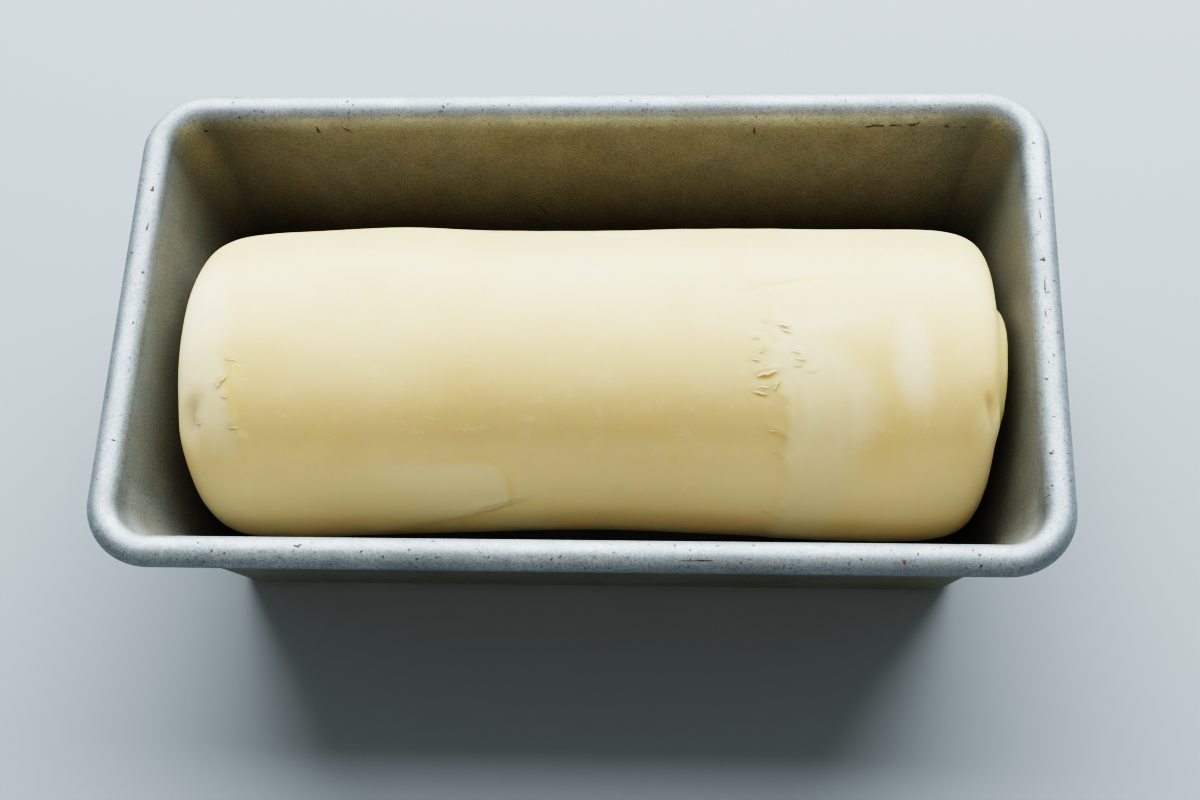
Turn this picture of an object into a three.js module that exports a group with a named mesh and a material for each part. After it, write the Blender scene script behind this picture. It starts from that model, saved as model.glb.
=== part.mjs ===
// Croissant bread dough, rolled into a log and laid in the loaf tin it is baked in.
// Millimetres, +Z up. The origin is the middle of the tin's underside; the front faces -Y.
import * as THREE from 'three';

// ---- The tin: one sheet, drawn to leaning walls, with its edge rolled into a thick bead ----
const RIM_LENGTH = 231;          // outside of the bead, along X
const RIM_WIDTH = 129;           // outside of the bead, along Y
const RIM_CORNER = 16.2;         // plan radius of the bead's outer side at a corner
const BEAD_DIAMETER = 7.4;
const BEAD_HEIGHT = 69.1;        // middle of the bead above the underside
const SHEET = 1;                 // thickness of the wall and floor
const WALL_LEAN = 13.65;         // how far each wall leans in between the bead and the base
const BASE_CORNER = 6.9;         // plan radius of the outer wall at the base
const BASE_EDGE = 4;             // outer radius where a wall turns into the base
const CORNER_STEPS = 8;
const BEAD_STEPS = 14;
const EDGE_STEPS = 4;

// ---- The dough: a rolled log with blunt ends, sagging a little and slightly waisted ----
const LOG_LEFT = 100;            // reach of the left end from the middle, before it meets the wall
const LOG_RIGHT = 101.2;
const LOG_Y = -2;                // the log's axis lies this far off the middle, to the front
const LOG_YAW = 0.005;           // radians
const LOG_BACK = 41.7;           // half widths behind and in front of the axis
const LOG_FRONT = 39.6;
const AXIS_HEIGHT = 34;
const LOG_RISE = 39.3;           // from the axis up to the top
const LOG_DROP = 34;             // from the axis down to where the round form would end
const TOP_ROUNDNESS = 2.05;      // exponents of the section above and below the axis
const LOW_ROUNDNESS = 2.3;
const END_TAPER = 12.7;          // exponents of the end's outline, along and across the log
const END_BLUNTNESS = 16;
const END_FRONT = 1.4;           // the ends are rounder in front and behind than on top
const END_BACK = 1.7;
const WAIST_X = 1.5;
const WAIST_REACH = 61;
const WAIST_FRONT = 3.8;
const WAIST_BACK = 0.5;
const GAP = 0.35;                // clearance between the dough and the tin
const LEAN_SOFTNESS = 0.03;      // how gently an end bends in to follow the wall below it
const AROUND_STEPS = 56;
const CAP_STEPS = 9;             // over the flat of an end
const CAP_WIDTH = 0.8;           // width of that flat as a share of the log's
const SHOULDER_STEPS = 7;        // round the shoulder between the flat and the sides
const SHOULDER_END = 0.34;       // angle round the end where the sides begin, in radians
const BODY_STEPS = 13;           // from a shoulder to the middle

// ---- Relief on the dough ----
const FLAP_HEIGHT = 0.7;         // the loose end of the outer layer, on the front at the left
const FLAP_TOP = 57;             // its upper edge
const FLAP_RIGHT = -18.5;        // its right edge
const FLAP_LEFT = -77;           // where it fades into the skin
const FLAP_FADE = 5;
const FLAP_TIP = { x: -14, z: 44.5 };
const FLAP_SLOPE = 0.45;         // fall of its lower edge towards the left
const FLAP_SOFTNESS = 1.6;
const ROLL_CORE = { y: -5, z: 48.5 };
const ROLL_PITCH = 10.5;         // spacing of the rolled layers seen on the ends
const ROLL_GROOVE = 1;
const ROLL_GROOVE_WIDTH = 1.9;
const CORE_RADIUS = 17;          // the inner roll stands out of the right end
const CORE_BULGE = 2;
const CORE_SOFTNESS = 1.5;
const CORE_END = 0.88;           // the core's relief stops where the log is this share of its width
const GROOVE_END = 0.78;         // the groove's relief stops further in
const END_FADE = 0.02;
const DENTS = [
  { x: -94.5, y: -23.5, z: 64.5, radius: 4.5, depth: 1.7 },
  { x: 97.5, y: -20, z: 64.5, radius: 4, depth: 1.3 },
];

const BEAD_RADIUS = BEAD_DIAMETER / 2;
const LEAN_ANGLE = Math.atan(WALL_LEAN / BEAD_HEIGHT);
const LEAN_PER_MM = WALL_LEAN / BEAD_HEIGHT;

// How far the inner face of a wall lies in from the outside of the rim, at height z.
function innerInset(z) {
  return BEAD_DIAMETER + WALL_LEAN - LEAN_PER_MM * z;
}

function outerInset(z) {
  return innerInset(z) - SHEET;
}

// A closed rounded rectangle, anticlockwise from above, set in from the rim by inset.
function roundedRing({ inset, z, corner }) {
  const points = [];
  const reachX = RIM_LENGTH / 2 - inset - corner;
  const reachY = RIM_WIDTH / 2 - inset - corner;
  for (let quarter = 0; quarter < 4; quarter += 1) {
    const sideX = quarter === 0 || quarter === 3 ? 1 : -1;
    const sideY = quarter < 2 ? 1 : -1;
    for (let step = 0; step <= CORNER_STEPS; step += 1) {
      const angle = (quarter + step / CORNER_STEPS) * Math.PI / 2;
      const x = sideX * reachX + corner * Math.cos(angle);
      const y = sideY * reachY + corner * Math.sin(angle);
      points.push(new THREE.Vector3(x, y, z));
    }
  }
  return points;
}

// The bend between a wall and the floor, from the wall down: one face of the sheet.
function bendProfile(wallInset, corner, radius, bottom) {
  const middleZ = bottom + radius;
  const middleInset = wallInset(middleZ) + radius / Math.cos(LEAN_ANGLE);
  const profile = [];
  for (let step = 0; step <= EDGE_STEPS; step += 1) {
    const angle = THREE.MathUtils.lerp(LEAN_ANGLE, Math.PI / 2, step / EDGE_STEPS);
    const inset = middleInset - radius * Math.cos(angle);
    const z = middleZ - radius * Math.sin(angle);
    profile.push({ inset, z, corner: corner - (inset - wallInset(0)) });
  }
  return profile;
}

// The bead, from where it meets the outer wall, round the outside and over the top to the
// inner wall, which runs down from its inner side.
function beadProfile() {
  const wallShare = 1 - SHEET / BEAD_RADIUS;
  const join = LEAN_ANGLE - Math.acos(wallShare * Math.cos(LEAN_ANGLE));
  const profile = [];
  for (let step = 0; step <= BEAD_STEPS; step += 1) {
    const angle = THREE.MathUtils.lerp(join, -2 * Math.PI, step / BEAD_STEPS);
    const inset = BEAD_RADIUS * (1 + Math.cos(angle));
    const z = BEAD_HEIGHT + BEAD_RADIUS * Math.sin(angle);
    profile.push({ inset, z, corner: RIM_CORNER - inset });
  }
  return profile;
}

// A closed solid through rings of equal counts, with its first and last ring closed by a fan.
function loft(rings) {
  const count = rings[0].length;
  const positions = [];
  const index = [];
  const middle = (ring) => ring.reduce((sum, point) => sum.add(point), new THREE.Vector3())
    .divideScalar(count);
  rings.flat().concat(middle(rings[0]), middle(rings.at(-1)))
    .forEach((point) => positions.push(point.x, point.y, point.z));
  const firstMiddle = rings.length * count;
  const lastRing = firstMiddle - count;
  for (let j = 0; j < count; j += 1) {
    const k = (j + 1) % count;
    for (let row = 0; row < lastRing; row += count) {
      index.push(row + j, row + k, row + count + k);
      index.push(row + j, row + count + k, row + count + j);
    }
    index.push(firstMiddle, k, j);
    index.push(firstMiddle + 1, lastRing + j, lastRing + k);
  }
  const geometry = new THREE.BufferGeometry();
  geometry.setAttribute('position', new THREE.Float32BufferAttribute(positions, 3));
  geometry.setIndex(index);
  geometry.computeVertexNormals();
  return geometry;
}

function tinGeometry() {
  const outerBend = bendProfile(outerInset, BASE_CORNER, BASE_EDGE, 0).reverse();
  const innerBend = bendProfile(innerInset, BASE_CORNER - SHEET, BASE_EDGE - SHEET, SHEET);
  const profile = [...outerBend, ...beadProfile(), ...innerBend];
  return loft(profile.map(roundedRing));
}

// Outline of an end: how far along the log (0 to 1) and how wide (1 to 0), corner by corner.
function endOutline() {
  const shoulder = (width) => (1 - width ** END_BLUNTNESS) ** (1 / END_TAPER);
  const capAngle = Math.acos(CAP_WIDTH ** (END_BLUNTNESS / 2));
  const outline = [];
  for (let step = 1; step <= CAP_STEPS; step += 1) {
    const width = CAP_WIDTH * step / CAP_STEPS;
    outline.push({ along: shoulder(width), width });
  }
  for (let step = 1; step <= SHOULDER_STEPS; step += 1) {
    const angle = THREE.MathUtils.lerp(capAngle, SHOULDER_END, step / SHOULDER_STEPS);
    const width = Math.cos(angle) ** (2 / END_BLUNTNESS);
    outline.push({ along: Math.sin(angle) ** (2 / END_TAPER), width });
  }
  const bodyStart = outline.at(-1).along;
  for (let step = 1; step <= BODY_STEPS; step += 1) {
    const along = bodyStart * (1 - step / BODY_STEPS);
    outline.push({ along, width: (1 - along ** END_TAPER) ** (1 / END_BLUNTNESS) });
  }
  return outline;
}

function powerCosine(value, exponent) {
  return Math.sign(value) * Math.abs(value) ** (2 / exponent);
}

function wallReach(z) {
  return RIM_LENGTH / 2 - innerInset(z) - GAP;
}

// A point of the plain log. side is -1 to the left and 1 to the right of the middle.
function logPoint(side, { along, width }, angle) {
  const reach = side < 0 ? LOG_LEFT : LOG_RIGHT;
  const straightX = side * reach * along;
  const waist = Math.exp(-(((straightX - WAIST_X) / WAIST_REACH) ** 2));
  const back = LOG_BACK - WAIST_BACK * waist;
  const front = LOG_FRONT - WAIST_FRONT * waist;
  const sine = Math.sin(angle);
  const roundness = sine > 0 ? TOP_ROUNDNESS : LOW_ROUNDNESS;
  const round = powerCosine(Math.cos(angle), roundness);
  const across = round * width ** (round > 0 ? END_BACK : END_FRONT);
  const up = powerCosine(sine, roundness) * width;
  const z = Math.max(AXIS_HEIGHT + (up > 0 ? LOG_RISE : LOG_DROP) * up, SHEET + GAP);
  const room = wallReach(z) / reach;
  const lean = 1 - LEAN_SOFTNESS * Math.log1p(Math.exp((1 - room) / LEAN_SOFTNESS));
  const x = straightX * lean;
  const y = LOG_Y + LOG_YAW * x + (across > 0 ? back : front) * across;
  return new THREE.Vector3(x, y, z);
}

function softStep(distance, softness) {
  return 1 / (1 + Math.exp(-distance / softness));
}

function flapRelief(point) {
  if (point.y > LOG_Y) {
    return 0;
  }
  const lowerEdge = FLAP_TIP.z + FLAP_SLOPE * (point.x - FLAP_TIP.x);
  const leftFade = softStep(point.x - FLAP_LEFT, FLAP_FADE);
  return FLAP_HEIGHT * leftFade * softStep(FLAP_RIGHT - point.x, FLAP_SOFTNESS)
    * softStep(FLAP_TOP - point.z, FLAP_SOFTNESS) * softStep(point.z - lowerEdge, FLAP_SOFTNESS);
}

// Rolled layers show on each end as a spiral groove, and the core stands out at the right.
function endRelief(point, side, width) {
  const y = point.y - ROLL_CORE.y;
  const z = point.z - ROLL_CORE.z;
  const radius = Math.hypot(y, z);
  const turn = radius / ROLL_PITCH - side * Math.atan2(z, y) / (2 * Math.PI);
  const fromGroove = (turn - Math.round(turn)) * ROLL_PITCH;
  const groove = ROLL_GROOVE * Math.exp(-((fromGroove / ROLL_GROOVE_WIDTH) ** 2));
  const bulge = side > 0 ? CORE_BULGE * softStep(CORE_RADIUS - radius, CORE_SOFTNESS) : 0;
  return softStep(CORE_END - width, END_FADE) * bulge
    - softStep(GROOVE_END - width, END_FADE) * groove;
}

function dentRelief(point) {
  return DENTS.reduce((sum, { x, y, z, radius, depth }) => {
    const distance = point.distanceTo(new THREE.Vector3(x, y, z));
    return sum - depth * Math.exp(-((distance / radius) ** 2));
  }, 0);
}

function doughGeometry() {
  const outline = endOutline();
  const stations = [
    ...outline.map((station) => ({ side: -1, station })),
    ...outline.slice(0, -1).reverse().map((station) => ({ side: 1, station })),
  ];
  const angles = Array.from({ length: AROUND_STEPS }, (_, j) => j * 2 * Math.PI / AROUND_STEPS);
  const plain = stations.map(({ side, station }) => (
    angles.map((angle) => logPoint(side, station, angle))));
  const rings = plain.map((ring, i) => ring.map((point, j) => {
    const around = new THREE.Vector3().subVectors(
      ring[(j + 1) % AROUND_STEPS], ring[(j + AROUND_STEPS - 1) % AROUND_STEPS]);
    const along = new THREE.Vector3().subVectors(
      plain[Math.min(i + 1, plain.length - 1)][j], plain[Math.max(i - 1, 0)][j]);
    const outward = around.cross(along).normalize();
    const { side, station } = stations[i];
    const relief = flapRelief(point) + endRelief(point, side, station.width) + dentRelief(point);
    const moved = point.clone().addScaledVector(outward, relief);
    moved.z = Math.max(moved.z, SHEET + GAP);
    moved.x = THREE.MathUtils.clamp(moved.x, -wallReach(moved.z), wallReach(moved.z));
    return moved;
  }));
  return loft(rings);
}

function namedMesh(name, geometry, material) {
  const mesh = new THREE.Mesh(geometry, material);
  mesh.name = name;
  return mesh;
}

const TIN_METAL = new THREE.MeshStandardMaterial({
  color: 0x9aa1a3, roughness: 0.5, metalness: 0.9,
});
const RAW_DOUGH = new THREE.MeshStandardMaterial({
  color: 0xefdcae, roughness: 0.55, metalness: 0,
});

const loaf = new THREE.Group();
loaf.add(namedMesh('loaf_tin', tinGeometry(), TIN_METAL));
loaf.add(namedMesh('dough_log', doughGeometry(), RAW_DOUGH));

export default loaf;
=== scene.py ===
"""Looks for the croissant bread dough in its loaf tin.

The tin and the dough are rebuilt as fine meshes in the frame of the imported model, to the same
driving dimensions. Lengths are in millimetres until a mesh is made, and the scene is in metres.
"""
import math

import bpy
import numpy as np
from mathutils import Matrix, Vector
from mathutils.bvhtree import BVHTree


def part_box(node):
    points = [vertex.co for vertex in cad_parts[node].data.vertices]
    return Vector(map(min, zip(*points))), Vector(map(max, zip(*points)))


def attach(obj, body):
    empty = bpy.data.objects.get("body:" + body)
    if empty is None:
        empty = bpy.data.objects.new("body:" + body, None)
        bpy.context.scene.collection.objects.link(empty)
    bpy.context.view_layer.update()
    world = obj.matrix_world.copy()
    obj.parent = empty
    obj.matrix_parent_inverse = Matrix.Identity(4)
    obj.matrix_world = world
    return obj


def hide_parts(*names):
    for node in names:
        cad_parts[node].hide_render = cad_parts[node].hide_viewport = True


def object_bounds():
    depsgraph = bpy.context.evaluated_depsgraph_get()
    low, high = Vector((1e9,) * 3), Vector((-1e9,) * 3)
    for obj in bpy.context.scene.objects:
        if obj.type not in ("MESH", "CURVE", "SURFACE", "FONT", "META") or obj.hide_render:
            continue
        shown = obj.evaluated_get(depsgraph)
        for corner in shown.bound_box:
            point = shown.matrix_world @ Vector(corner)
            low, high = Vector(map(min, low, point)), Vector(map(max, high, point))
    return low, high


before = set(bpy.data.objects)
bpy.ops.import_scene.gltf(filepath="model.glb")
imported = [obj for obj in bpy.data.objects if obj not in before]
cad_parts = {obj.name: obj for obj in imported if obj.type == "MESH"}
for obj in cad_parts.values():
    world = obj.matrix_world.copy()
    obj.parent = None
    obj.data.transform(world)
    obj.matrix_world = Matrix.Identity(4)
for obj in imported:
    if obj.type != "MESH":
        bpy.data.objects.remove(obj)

MM = 0.001
CAD_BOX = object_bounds()
TIN_LOW, TIN_HIGH = (np.array(corner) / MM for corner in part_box("loaf_tin"))
RIM_LENGTH, RIM_WIDTH, TIN_HEIGHT = TIN_HIGH - TIN_LOW

# ---- The tin: one sheet, drawn to leaning walls, with its edge rolled into a thick bead ----
RIM_CORNER = 16.2            # plan radius of the bead's outer side at a corner
BEAD_RADIUS = 3.7
BEAD_HEIGHT = TIN_HEIGHT - BEAD_RADIUS
SHEET = 1.0                  # thickness of the wall and floor
WALL_LEAN = 13.65            # how far each wall leans in between the bead and the base
LEAN_PER_MM = WALL_LEAN / BEAD_HEIGHT
LEAN_ANGLE = math.atan(LEAN_PER_MM)
BASE_CORNER = 6.9            # plan radius of the outer wall at the base
BASE_EDGE = 4.0              # outer radius where a wall turns into the base
CORNER_STEPS = 20
LONG_STEPS = 64
SHORT_STEPS = 34
WALL_STEPS = 26
BEAD_STEPS = 36
EDGE_STEPS = 8
FLOOR_RINGS = 6
FLOOR_MIDDLE = 4.0           # half width of the innermost ring of the floor
FLOOR_MIDDLE_CORNER = 2.0
WALL_START = 1.5             # the walls' looks begin this far below the middle of the bead
WALL_FADE = 0.7

# ---- The dough: a rolled log with blunt ends, sagging a little and slightly waisted ----
LOG_LEFT = 100.0             # reach of the left end from the middle, before it meets the wall
LOG_RIGHT = 101.2
LOG_Y = -2.0                 # the log's axis lies this far off the middle, to the front
LOG_YAW = 0.005              # radians
LOG_BACK = 41.7              # half widths behind and in front of the axis
LOG_FRONT = 39.6
AXIS_HEIGHT = 34.0
LOG_RISE = 39.3              # from the axis up to the top
LOG_DROP = 34.0              # from the axis down to where the round form would end
TOP_ROUNDNESS = 2.05         # exponents of the section above and below the axis
LOW_ROUNDNESS = 2.3
END_TAPER = 12.7             # exponents of the end's outline, along and across the log
END_BLUNTNESS = 16.0
END_FRONT = 1.4              # the ends are rounder in front and behind than on top
END_BACK = 1.7
WAIST_X = 1.5
WAIST_REACH = 61.0
WAIST_FRONT = 3.8
WAIST_BACK = 0.5
GAP = 0.35                   # clearance between the dough and the tin
LEAN_SOFTNESS = 0.03         # how gently an end bends in to follow the wall below it

# ---- How the dough's mesh is divided ----
RINGS_PER_END = 176
AROUND_STEPS = 276
BODY_SHARE = 0.95            # share of an end's reach before its outline turns in
OUTLINE_SAMPLES = 800        # samples of each part of that outline
SEAM_CROWDS = ((47, 9), (86, 8))    # rings lie closer here: distance from the middle, reach
SEAM_CROWDING = 0.7
ANGLE_SAMPLES = 4001         # samples round the log before the angles are chosen
CROWDED_ANGLE = 110          # degrees from the back, where the points lie closest
CROWDING = 0.55
CHART_SAMPLES = 2001         # samples round the log for distances over its skin


# ---------------------------------------------------------------- small helpers
def soft_step(distance, softness):
    """0 well below zero distance, 1 well above it."""
    return 0.5 * (1 + np.tanh(distance / (2 * softness)))


def hump(distance, reach):
    """1 at zero distance, fading to 0 over reach."""
    return np.exp(-((distance / reach) ** 2))


def lattice_noise(points, size, seed):
    """Smooth noise from -1 to 1 over points, with features about size across. Each corner of
    the lattice has a fixed value, mixed from its own whole numbers and the seed."""
    place = points / size + 1000 + 17.3 * seed
    cell = np.floor(place).astype(np.int64)
    part = place - cell
    part = part * part * (3 - 2 * part)
    total = np.zeros(len(points))
    for corner in np.ndindex(2, 2, 2):
        at = cell + corner
        key = at[:, 0] * 73856093 ^ at[:, 1] * 19349663 ^ at[:, 2] * 83492791 ^ seed * 2654435761
        key = (key ^ (key >> 13)) * 1274126177 & 0x7FFFFFFF
        key = (key ^ (key >> 15)) * 668265263 & 0x7FFFFFFF
        value = (key % 65536) / 32768 - 1
        total += value * np.prod(np.where(corner, part, 1 - part), axis=1)
    return total


def grid_faces(rows, columns):
    """Quads over rows of closed rings of points."""
    row, column = np.meshgrid(np.arange(rows - 1), np.arange(columns), indexing="ij")
    start = row * columns
    ahead = (column + 1) % columns
    quads = np.stack([start + column, start + ahead, start + columns + ahead,
                      start + columns + column], axis=-1)
    return quads.reshape(-1, 4)


def loft_faces(rows, columns):
    """Faces over rows of closed rings of points, closed at each end by a fan round one point."""
    around = np.arange(columns)
    ahead = (around + 1) % columns
    last = (rows - 1) * columns
    middle = rows * columns
    first_fan = np.column_stack([np.full(columns, middle), ahead, around])
    last_fan = np.column_stack([np.full(columns, middle + 1), last + around, last + ahead])
    return [*grid_faces(rows, columns), *first_fan, *last_fan]


def closed_mesh(name, lofts):
    """One smooth mesh of closed bodies. Each loft is its rings of points in millimetres and its
    fields, which give a number per point of the rings, kept on the mesh under each name."""
    points, faces = [], []
    fields = {field: [] for field in lofts[0][1]}
    start = 0
    for rings, values in lofts:
        rows, columns, _ = rings.shape
        points += [rings.reshape(-1, 3), rings[[0, -1]].mean(axis=1)]
        faces += [(face + start).tolist() for face in loft_faces(rows, columns)]
        start += rows * columns + 2
        for field, value in values.items():
            fields[field] += [value.reshape(-1), value[[0, -1]].mean(axis=1)]
    mesh = bpy.data.meshes.new(name)
    mesh.from_pydata(np.concatenate(points) * MM, [], faces)
    mesh.polygons.foreach_set("use_smooth", np.ones(len(mesh.polygons), dtype=bool))
    for field, value in fields.items():
        layer = mesh.attributes.new(field, "FLOAT", "POINT")
        layer.data.foreach_set("value", np.concatenate(value).astype(np.float32))
    mesh.update()
    piece = bpy.data.objects.new(name, mesh)
    bpy.context.collection.objects.link(piece)
    return piece


class Surface:
    """Finds the nearest places and normals on a finished piece, in millimetres."""

    def __init__(self, piece):
        mesh = piece.data
        corners = [vertex.co / MM for vertex in mesh.vertices]
        self.tree = BVHTree.FromPolygons(corners, [tuple(face.vertices) for face in mesh.polygons])

    def nearest(self, points):
        found = [self.tree.find_nearest(Vector(point)) for point in points.reshape(-1, 3)]
        place = np.array([place for place, normal, face, distance in found])
        normal = np.array([normal for place, normal, face, distance in found])
        return place.reshape(points.shape), normal.reshape(points.shape)


# ---------------------------------------------------------------- node helpers
class Nodes:
    """Builds one material's nodes with short calls."""

    def __init__(self, name):
        self.material = bpy.data.materials.new(name)
        self.material.use_nodes = True
        self.tree = self.material.node_tree
        self.shader = self.tree.nodes["Principled BSDF"]

    def add(self, kind, inputs=None, **settings):
        node = self.tree.nodes.new(kind)
        for key, value in settings.items():
            setattr(node, key, value)
        for key, value in (inputs or {}).items():
            self.feed(node.inputs[key], value)
        return node

    def feed(self, socket, value):
        if isinstance(value, bpy.types.NodeSocket):
            self.tree.links.new(value, socket)
        else:
            socket.default_value = value

    def math(self, operation, first, second=0.0, clamp=False):
        node = self.add("ShaderNodeMath", {0: first, 1: second}, operation=operation)
        node.use_clamp = clamp
        return node.outputs[0]

    def ramp(self, value, low, high, out_low=0.0, out_high=1.0):
        """A smooth rise from out_low to out_high, while value goes from low to high."""
        node = self.add("ShaderNodeMapRange", {
            "Value": value, "From Min": low, "From Max": high,
            "To Min": out_low, "To Max": out_high}, interpolation_type="SMOOTHSTEP")
        return node.outputs["Result"]

    def mix(self, share, first, second, blend="MIX"):
        node = self.add("ShaderNodeMix", data_type="RGBA", blend_type=blend)
        self.feed(node.inputs["Factor"], share)
        self.feed(node.inputs["A"], first)
        self.feed(node.inputs["B"], second)
        return node.outputs["Result"]

    def place(self, scale=(1, 1, 1), turn=(0, 0, 0)):
        """The place on the piece, in metres, scaled and turned."""
        where = self.add("ShaderNodeTexCoord").outputs["Object"]
        mapping = self.add("ShaderNodeMapping", {"Vector": where, "Scale": scale,
                                                 "Rotation": turn})
        return mapping.outputs[0]

    def noise(self, where, scale, detail=2.0, roughness=0.5, distortion=0.0):
        node = self.add("ShaderNodeTexNoise", {
            "Vector": where, "Scale": scale, "Detail": detail, "Roughness": roughness,
            "Distortion": distortion})
        return node.outputs["Fac"]

    def field(self, name):
        """A number that the mesh holds at each point."""
        return self.add("ShaderNodeAttribute", attribute_name=name).outputs["Fac"]

    def bump(self, height, strength, distance, below=None):
        inputs = {"Height": height, "Strength": strength, "Distance": distance}
        if below is not None:
            inputs["Normal"] = below
        return self.add("ShaderNodeBump", inputs).outputs[0]


def rgb(red, green, blue):
    return (red, green, blue, 1.0)


# ---------------------------------------------------------------- the tin
def inner_inset(z):
    """How far a wall's inner side lies inside the rim's outline."""
    return 2 * BEAD_RADIUS + WALL_LEAN - LEAN_PER_MM * z


def outer_inset(z):
    return inner_inset(z) - SHEET


def corner_radius(z, base):
    """Plan radius of a wall's corner, from its radius at the base."""
    top = RIM_CORNER - 2 * BEAD_RADIUS + base - (BASE_CORNER - SHEET)
    return base + (top - base) * z / BEAD_HEIGHT


def bend_profile(wall_inset, corner, radius, bottom):
    """Rows of inset, height and plan radius round the bend from a wall down to the floor."""
    middle_z = bottom + radius
    middle_inset = wall_inset(middle_z) + radius / math.cos(LEAN_ANGLE)
    angle = np.linspace(LEAN_ANGLE, math.pi / 2, EDGE_STEPS + 1)
    inset = middle_inset - radius * np.cos(angle)
    z = middle_z - radius * np.sin(angle)
    return np.column_stack([inset, z, corner - (inset - wall_inset(0))])


def wall_profile(wall_inset, base_corner, low, high):
    """Rows over a wall between two heights, without the heights themselves."""
    z = np.linspace(low, high, WALL_STEPS + 2)[1:-1]
    return np.column_stack([wall_inset(z), z, corner_radius(z, base_corner)])


def bead_profile():
    """Rows from the outer wall round the outside of the bead and over its top to the inner wall."""
    wall_share = 1 - SHEET / BEAD_RADIUS
    join = LEAN_ANGLE - math.acos(wall_share * math.cos(LEAN_ANGLE))
    angle = np.linspace(join, -2 * math.pi, BEAD_STEPS + 1)
    inset = BEAD_RADIUS * (1 + np.cos(angle))
    z = BEAD_HEIGHT + BEAD_RADIUS * np.sin(angle)
    return np.column_stack([inset, z, RIM_CORNER - inset])


def floor_profile(edge, bottom):
    """Rows from a bend's inner edge in over the floor."""
    inset, _, corner = edge
    share = np.linspace(0, 1, FLOOR_RINGS + 1)[1:]
    reach = RIM_WIDTH / 2 - inset - FLOOR_MIDDLE
    return np.column_stack([inset + share * reach, np.full(FLOOR_RINGS, bottom),
                            corner + share * (FLOOR_MIDDLE_CORNER - corner)])


def rounded_ring(inset, z, corner):
    """A closed rounded rectangle, anticlockwise from above, with its sides divided too."""
    reach_x = RIM_LENGTH / 2 - inset - corner
    reach_y = RIM_WIDTH / 2 - inset - corner
    angle = np.linspace(0, math.pi / 2, CORNER_STEPS + 1)
    arc_x, arc_y = corner * np.cos(angle), corner * np.sin(angle)
    along_x = np.linspace(reach_x, -reach_x, LONG_STEPS + 1)[1:-1]
    along_y = np.linspace(reach_y, -reach_y, SHORT_STEPS + 1)[1:-1]
    far_x, far_y = reach_x + corner, reach_y + corner
    half = np.concatenate([
        np.column_stack([reach_x + arc_x, reach_y + arc_y]),
        np.column_stack([along_x, np.full(len(along_x), far_y)]),
        np.column_stack([-reach_x - arc_y, reach_y + arc_x]),
        np.column_stack([np.full(len(along_y), -far_x), along_y])])
    flat = np.concatenate([half, -half])
    return np.column_stack([flat, np.full(len(flat), z)])


def make_tin():
    """The tin. Its field wall is 1 below the bead, and inside is 1 from the inner wall inwards."""
    outer_bend = bend_profile(outer_inset, BASE_CORNER, BASE_EDGE, 0)[::-1]
    inner_bend = bend_profile(inner_inset, BASE_CORNER - SHEET, BASE_EDGE - SHEET, SHEET)
    bead = bead_profile()
    profile = np.concatenate([
        floor_profile(outer_bend[0], 0)[::-1],
        outer_bend,
        wall_profile(outer_inset, BASE_CORNER, outer_bend[-1, 1], bead[0, 1]),
        bead,
        wall_profile(inner_inset, BASE_CORNER - SHEET, inner_bend[0, 1], bead[-1, 1])[::-1],
        inner_bend,
        floor_profile(inner_bend[-1], SHEET)])
    rings = np.array([rounded_ring(*row) for row in profile])
    wall = soft_step(BEAD_HEIGHT - WALL_START - rings[..., 2], WALL_FADE)
    first_inside = len(profile) - WALL_STEPS - len(inner_bend) - FLOOR_RINGS
    past_bead = np.arange(len(profile)) > first_inside
    inside = np.repeat(past_bead[:, None], rings.shape[1], axis=1)
    return closed_mesh("tin", [(rings, {"wall": wall, "inside": inside})])


# Baked-on specks and chips: x, y and z on the tin, then length, width and turn in degrees.
CHIPS = (
    (-71.0, 56.8, 66.5, 0.7, 2.6, 12),
    (-63.5, 56.8, 66.8, 2.6, 0.6, -35),
    (-101.0, 56.5, 67.0, 1.6, 0.6, -10),
    (-107.5, 55.0, 65.0, 0.8, 2.4, -35),
    (72.5, 56.8, 67.2, 4.6, 0.8, 5),
    (77.5, 56.8, 67.4, 3.2, 0.5, 4),
    (82.0, 56.8, 67.6, 2.8, 1.0, 8),
    (90.5, 56.8, 67.0, 1.2, 1.0, 0),
    (95.0, 56.7, 66.6, 1.6, 0.4, 0),
    (107.2, 55.6, 63.4, 3.0, 0.6, -58),
    (105.8, 54.6, 56.0, 5.4, 0.35, 62),
    (-14.6, 50.6, 36.0, 4.2, 0.35, -60),
    (42.0, 56.4, 65.6, 0.5, 2.6, 0),
    (15.5, 56.8, 66.8, 1.2, 0.4, 10),
    (76.5, 63.7, 66.8, 3.0, 0.5, 5),
    (41.0, 64.3, 68.0, 1.4, 0.9, 15),
    (-91.5, 63.9, 71.2, 2.6, 0.8, 12),
    (-95.5, 64.0, 70.5, 1.2, 0.5, 20),
    (111.3, 27.5, 72.8, 0.35, 3.6, 2),
    (111.1, 15.0, 72.8, 1.3, 1.0, 0),
    (111.2, 8.0, 72.8, 0.4, 4.8, -2),
    (110.9, 0.5, 72.8, 0.4, 2.2, 0),
    (-110.4, 35.5, 72.6, 0.8, 1.8, -10),
    (-110.2, 24.5, 72.6, 0.6, 2.6, -8),
    (-63.0, -60.3, 72.8, 2.0, 0.8, 10),
    (29.5, -62.6, 72.2, 7.5, 0.35, 1),
    (-104.4, -46.0, 50.2, 5.0, 0.4, -35),
)
CHIP_HEIGHT = 0.07
CHIP_SIDES = 14
CHIP_RINGS = ((0.9, -1), (1.0, 0), (0.6, 0.8), (0.2, 1))    # shares of the outline and height

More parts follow.
